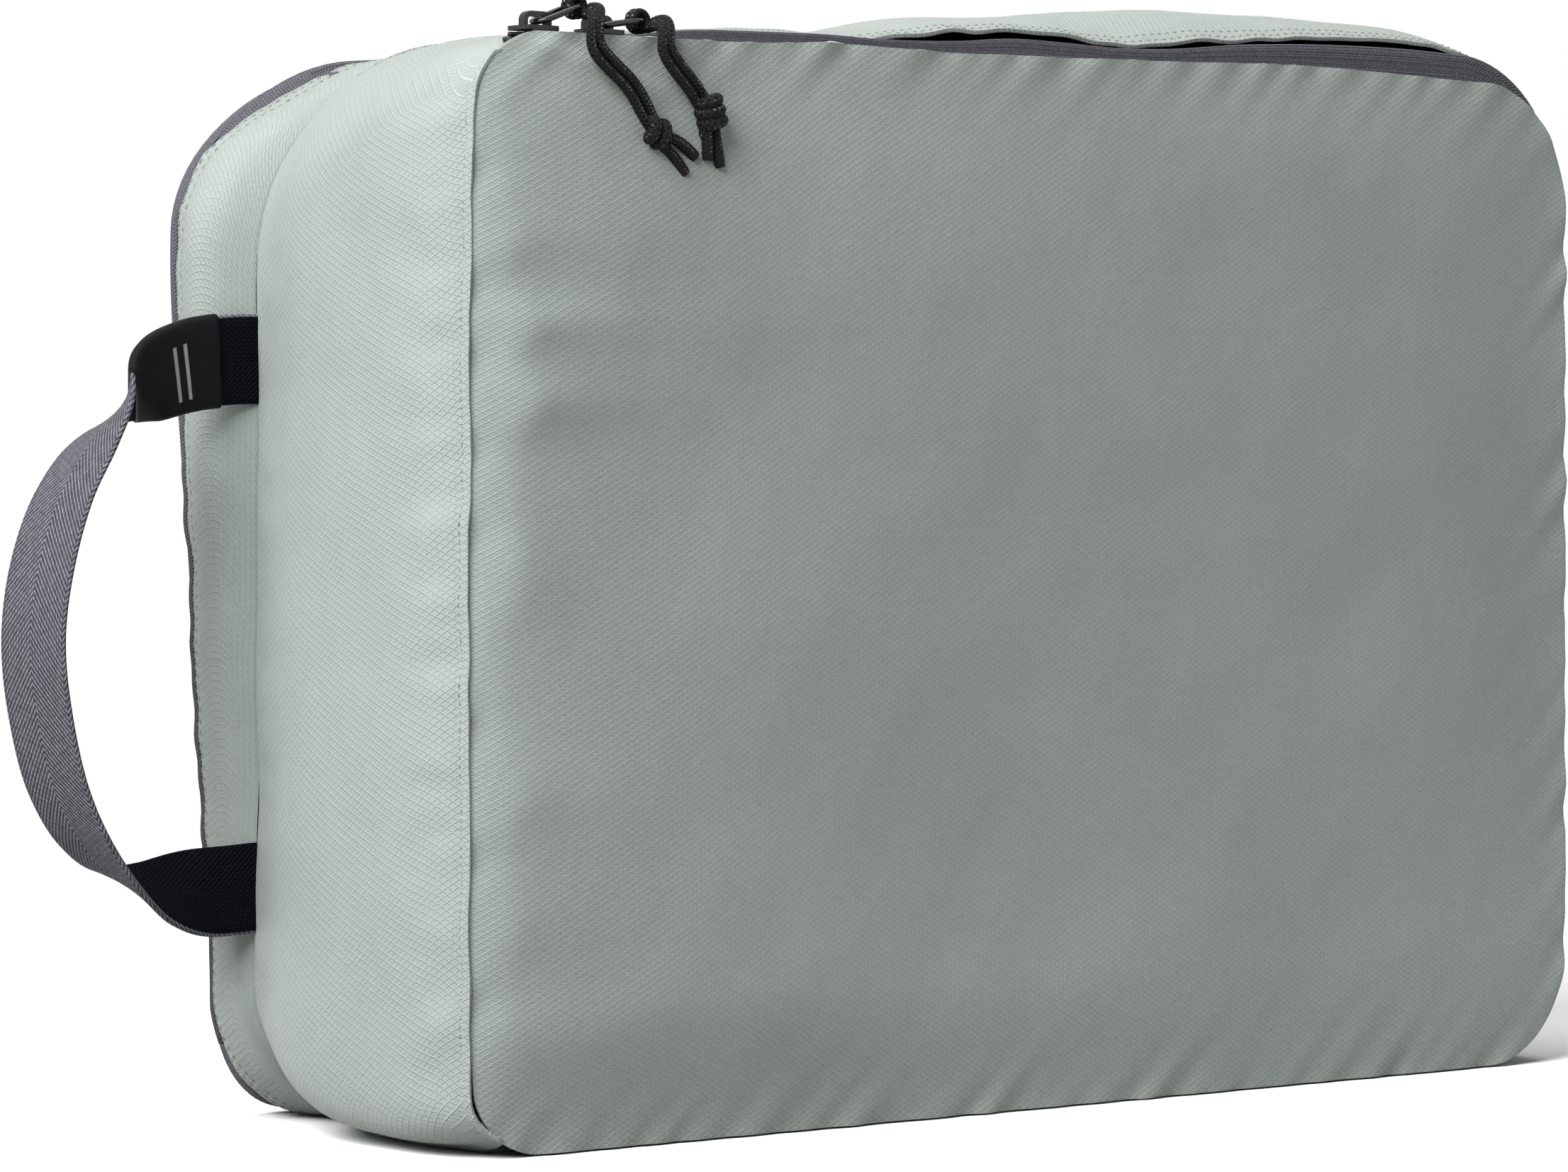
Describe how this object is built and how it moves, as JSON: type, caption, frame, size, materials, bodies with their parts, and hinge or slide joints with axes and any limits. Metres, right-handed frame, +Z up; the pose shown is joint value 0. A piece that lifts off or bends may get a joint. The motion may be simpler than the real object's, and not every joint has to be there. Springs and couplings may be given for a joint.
{
  "type": "packing cube",
  "caption": "Soft two-sided packing cube with opposite zip-round panels, a divider, a webbing side handle and corded zip pulls.",
  "frame": {"origin": "ground point midway between the vertical seams and midway between the two panels", "axes": "+X along the long side away from the handle, front panel faces -Y, +Z up"},
  "size_m": [0.4262, 0.1243, 0.2682],
  "materials": {
    "ripstop": "sage grey coated ripstop with a small diamond grid",
    "divider_cloth": "plain lining cloth",
    "zip_tape": "dark purple-grey woven tape",
    "zip_coil": "dark coil monofilament",
    "slider_metal": "black enamel",
    "ring_wire": "black enamel wire",
    "pull_cord": "black braided cord",
    "webbing": "grey herringbone webbing, dark on its inner face",
    "label_cloth": "black satin label tape",
    "binding_tape": "dark grosgrain binding"
  },
  "bodies": {
    "bag": {"front_gusset": "ripstop", "rear_gusset": "ripstop", "divider": "divider_cloth", "front_zip_tape_gusset": "zip_tape", "front_zip_coil_gusset": "zip_coil", "rear_zip_tape_gusset": "zip_tape", "rear_zip_coil_gusset": "zip_coil", "front_hinge_binding": "binding_tape", "rear_hinge_binding": "binding_tape", "middle_binding": "binding_tape"},
    "front_flap": {"front_panel": "ripstop", "front_zip_tape_panel": "zip_tape", "front_zip_coil_panel": "zip_coil"},
    "rear_flap": {"rear_panel": "ripstop", "rear_zip_tape_panel": "zip_tape", "rear_zip_coil_panel": "zip_coil"},
    "handle": {"handle_webbing": "webbing", "size_label": "label_cloth"},
    "front_slider_1": {"front_slider_1": "slider_metal"},
    "front_ring_1": {"front_ring_1": "ring_wire"},
    "front_pull_1": {"front_cord_1_strands": "pull_cord", "front_cord_1_knot": "pull_cord", "front_cord_1_tails": "pull_cord", "front_cord_1_hitch": "pull_cord"},
    "rear_slider_1": {"rear_slider_1": "slider_metal"},
    "rear_ring_1": {"rear_ring_1": "ring_wire"},
    "front_slider_2": {"front_slider_2": "slider_metal"},
    "front_ring_2": {"front_ring_2": "ring_wire"},
    "front_pull_2": {"front_cord_2_strands": "pull_cord", "front_cord_2_knot": "pull_cord", "front_cord_2_tails": "pull_cord", "front_cord_2_hitch": "pull_cord"},
    "rear_slider_2": {"rear_slider_2": "slider_metal"},
    "rear_ring_2": {"rear_ring_2": "ring_wire"}
  },
  "joints": [
    {"name": "front_flap_hinge", "type": "hinge", "parent": "bag", "child": "front_flap", "pos_m": [-0.179, -0.0582, 0.127], "axis": [0, 0, -1], "range_deg": [0, 150]},
    {"name": "rear_flap_hinge", "type": "hinge", "parent": "bag", "child": "rear_flap", "pos_m": [0.179, 0.0582, 0.127], "axis": [0, 0, -1], "range_deg": [0, 150]},
    {"name": "handle_swing", "type": "hinge", "parent": "bag", "child": "handle", "pos_m": [-0.1801, 0.024, 0.119], "axis": [0, 0, 1], "range_deg": [-60, 60]},
    {"name": "front_slider_1_travel", "type": "slide", "parent": "front_flap", "child": "front_slider_1", "axis": [1, 0, 0], "range_m": [-0.004, 0]},
    {"name": "front_ring_1_lift", "type": "hinge", "parent": "front_slider_1", "child": "front_ring_1", "pos_m": [-0.16, -0.052, 0.2566], "axis": [0, -1, 0], "range_deg": [0, 40]},
    {"name": "front_pull_1_hang", "type": "hinge", "parent": "front_ring_1", "child": "front_pull_1", "pos_m": [-0.14863, -0.052, 0.26074], "axis": [0, -1, 0], "range_deg": [-40, 0]},
    {"name": "rear_slider_1_travel", "type": "slide", "parent": "rear_flap", "child": "rear_slider_1", "axis": [1, 0, 0], "range_m": [-0.004, 0.001]},
    {"name": "rear_ring_1_lift", "type": "hinge", "parent": "rear_slider_1", "child": "rear_ring_1", "pos_m": [0.152, 0.052, 0.2566], "axis": [0, -1, 0], "range_deg": [0, 105]},
    {"name": "front_slider_2_travel", "type": "slide", "parent": "front_flap", "child": "front_slider_2", "axis": [1, 0, 0], "range_m": [0, 0.283]},
    {"name": "front_ring_2_lift", "type": "hinge", "parent": "front_slider_2", "child": "front_ring_2", "pos_m": [-0.142, -0.052, 0.2566], "axis": [0, -1, 0], "range_deg": [0, 48]},
    {"name": "front_pull_2_hang", "type": "hinge", "parent": "front_ring_2", "child": "front_pull_2", "pos_m": [-0.13002, -0.052, 0.25828], "axis": [0, -1, 0], "range_deg": [-48, 0]},
    {"name": "rear_slider_2_travel", "type": "slide", "parent": "rear_flap", "child": "rear_slider_2", "axis": [1, 0, 0], "range_m": [-0.255, 0]},
    {"name": "rear_ring_2_lift", "type": "hinge", "parent": "rear_slider_2", "child": "rear_ring_2", "pos_m": [0.134, 0.052, 0.2566], "axis": [0, 1, 0], "range_deg": [0, 105]}
  ],
  "couplings": [
    {"joint": "front_pull_1_hang", "follows": "front_ring_1_lift", "ratio": -1},
    {"joint": "front_pull_2_hang", "follows": "front_ring_2_lift", "ratio": -1}
  ]
}
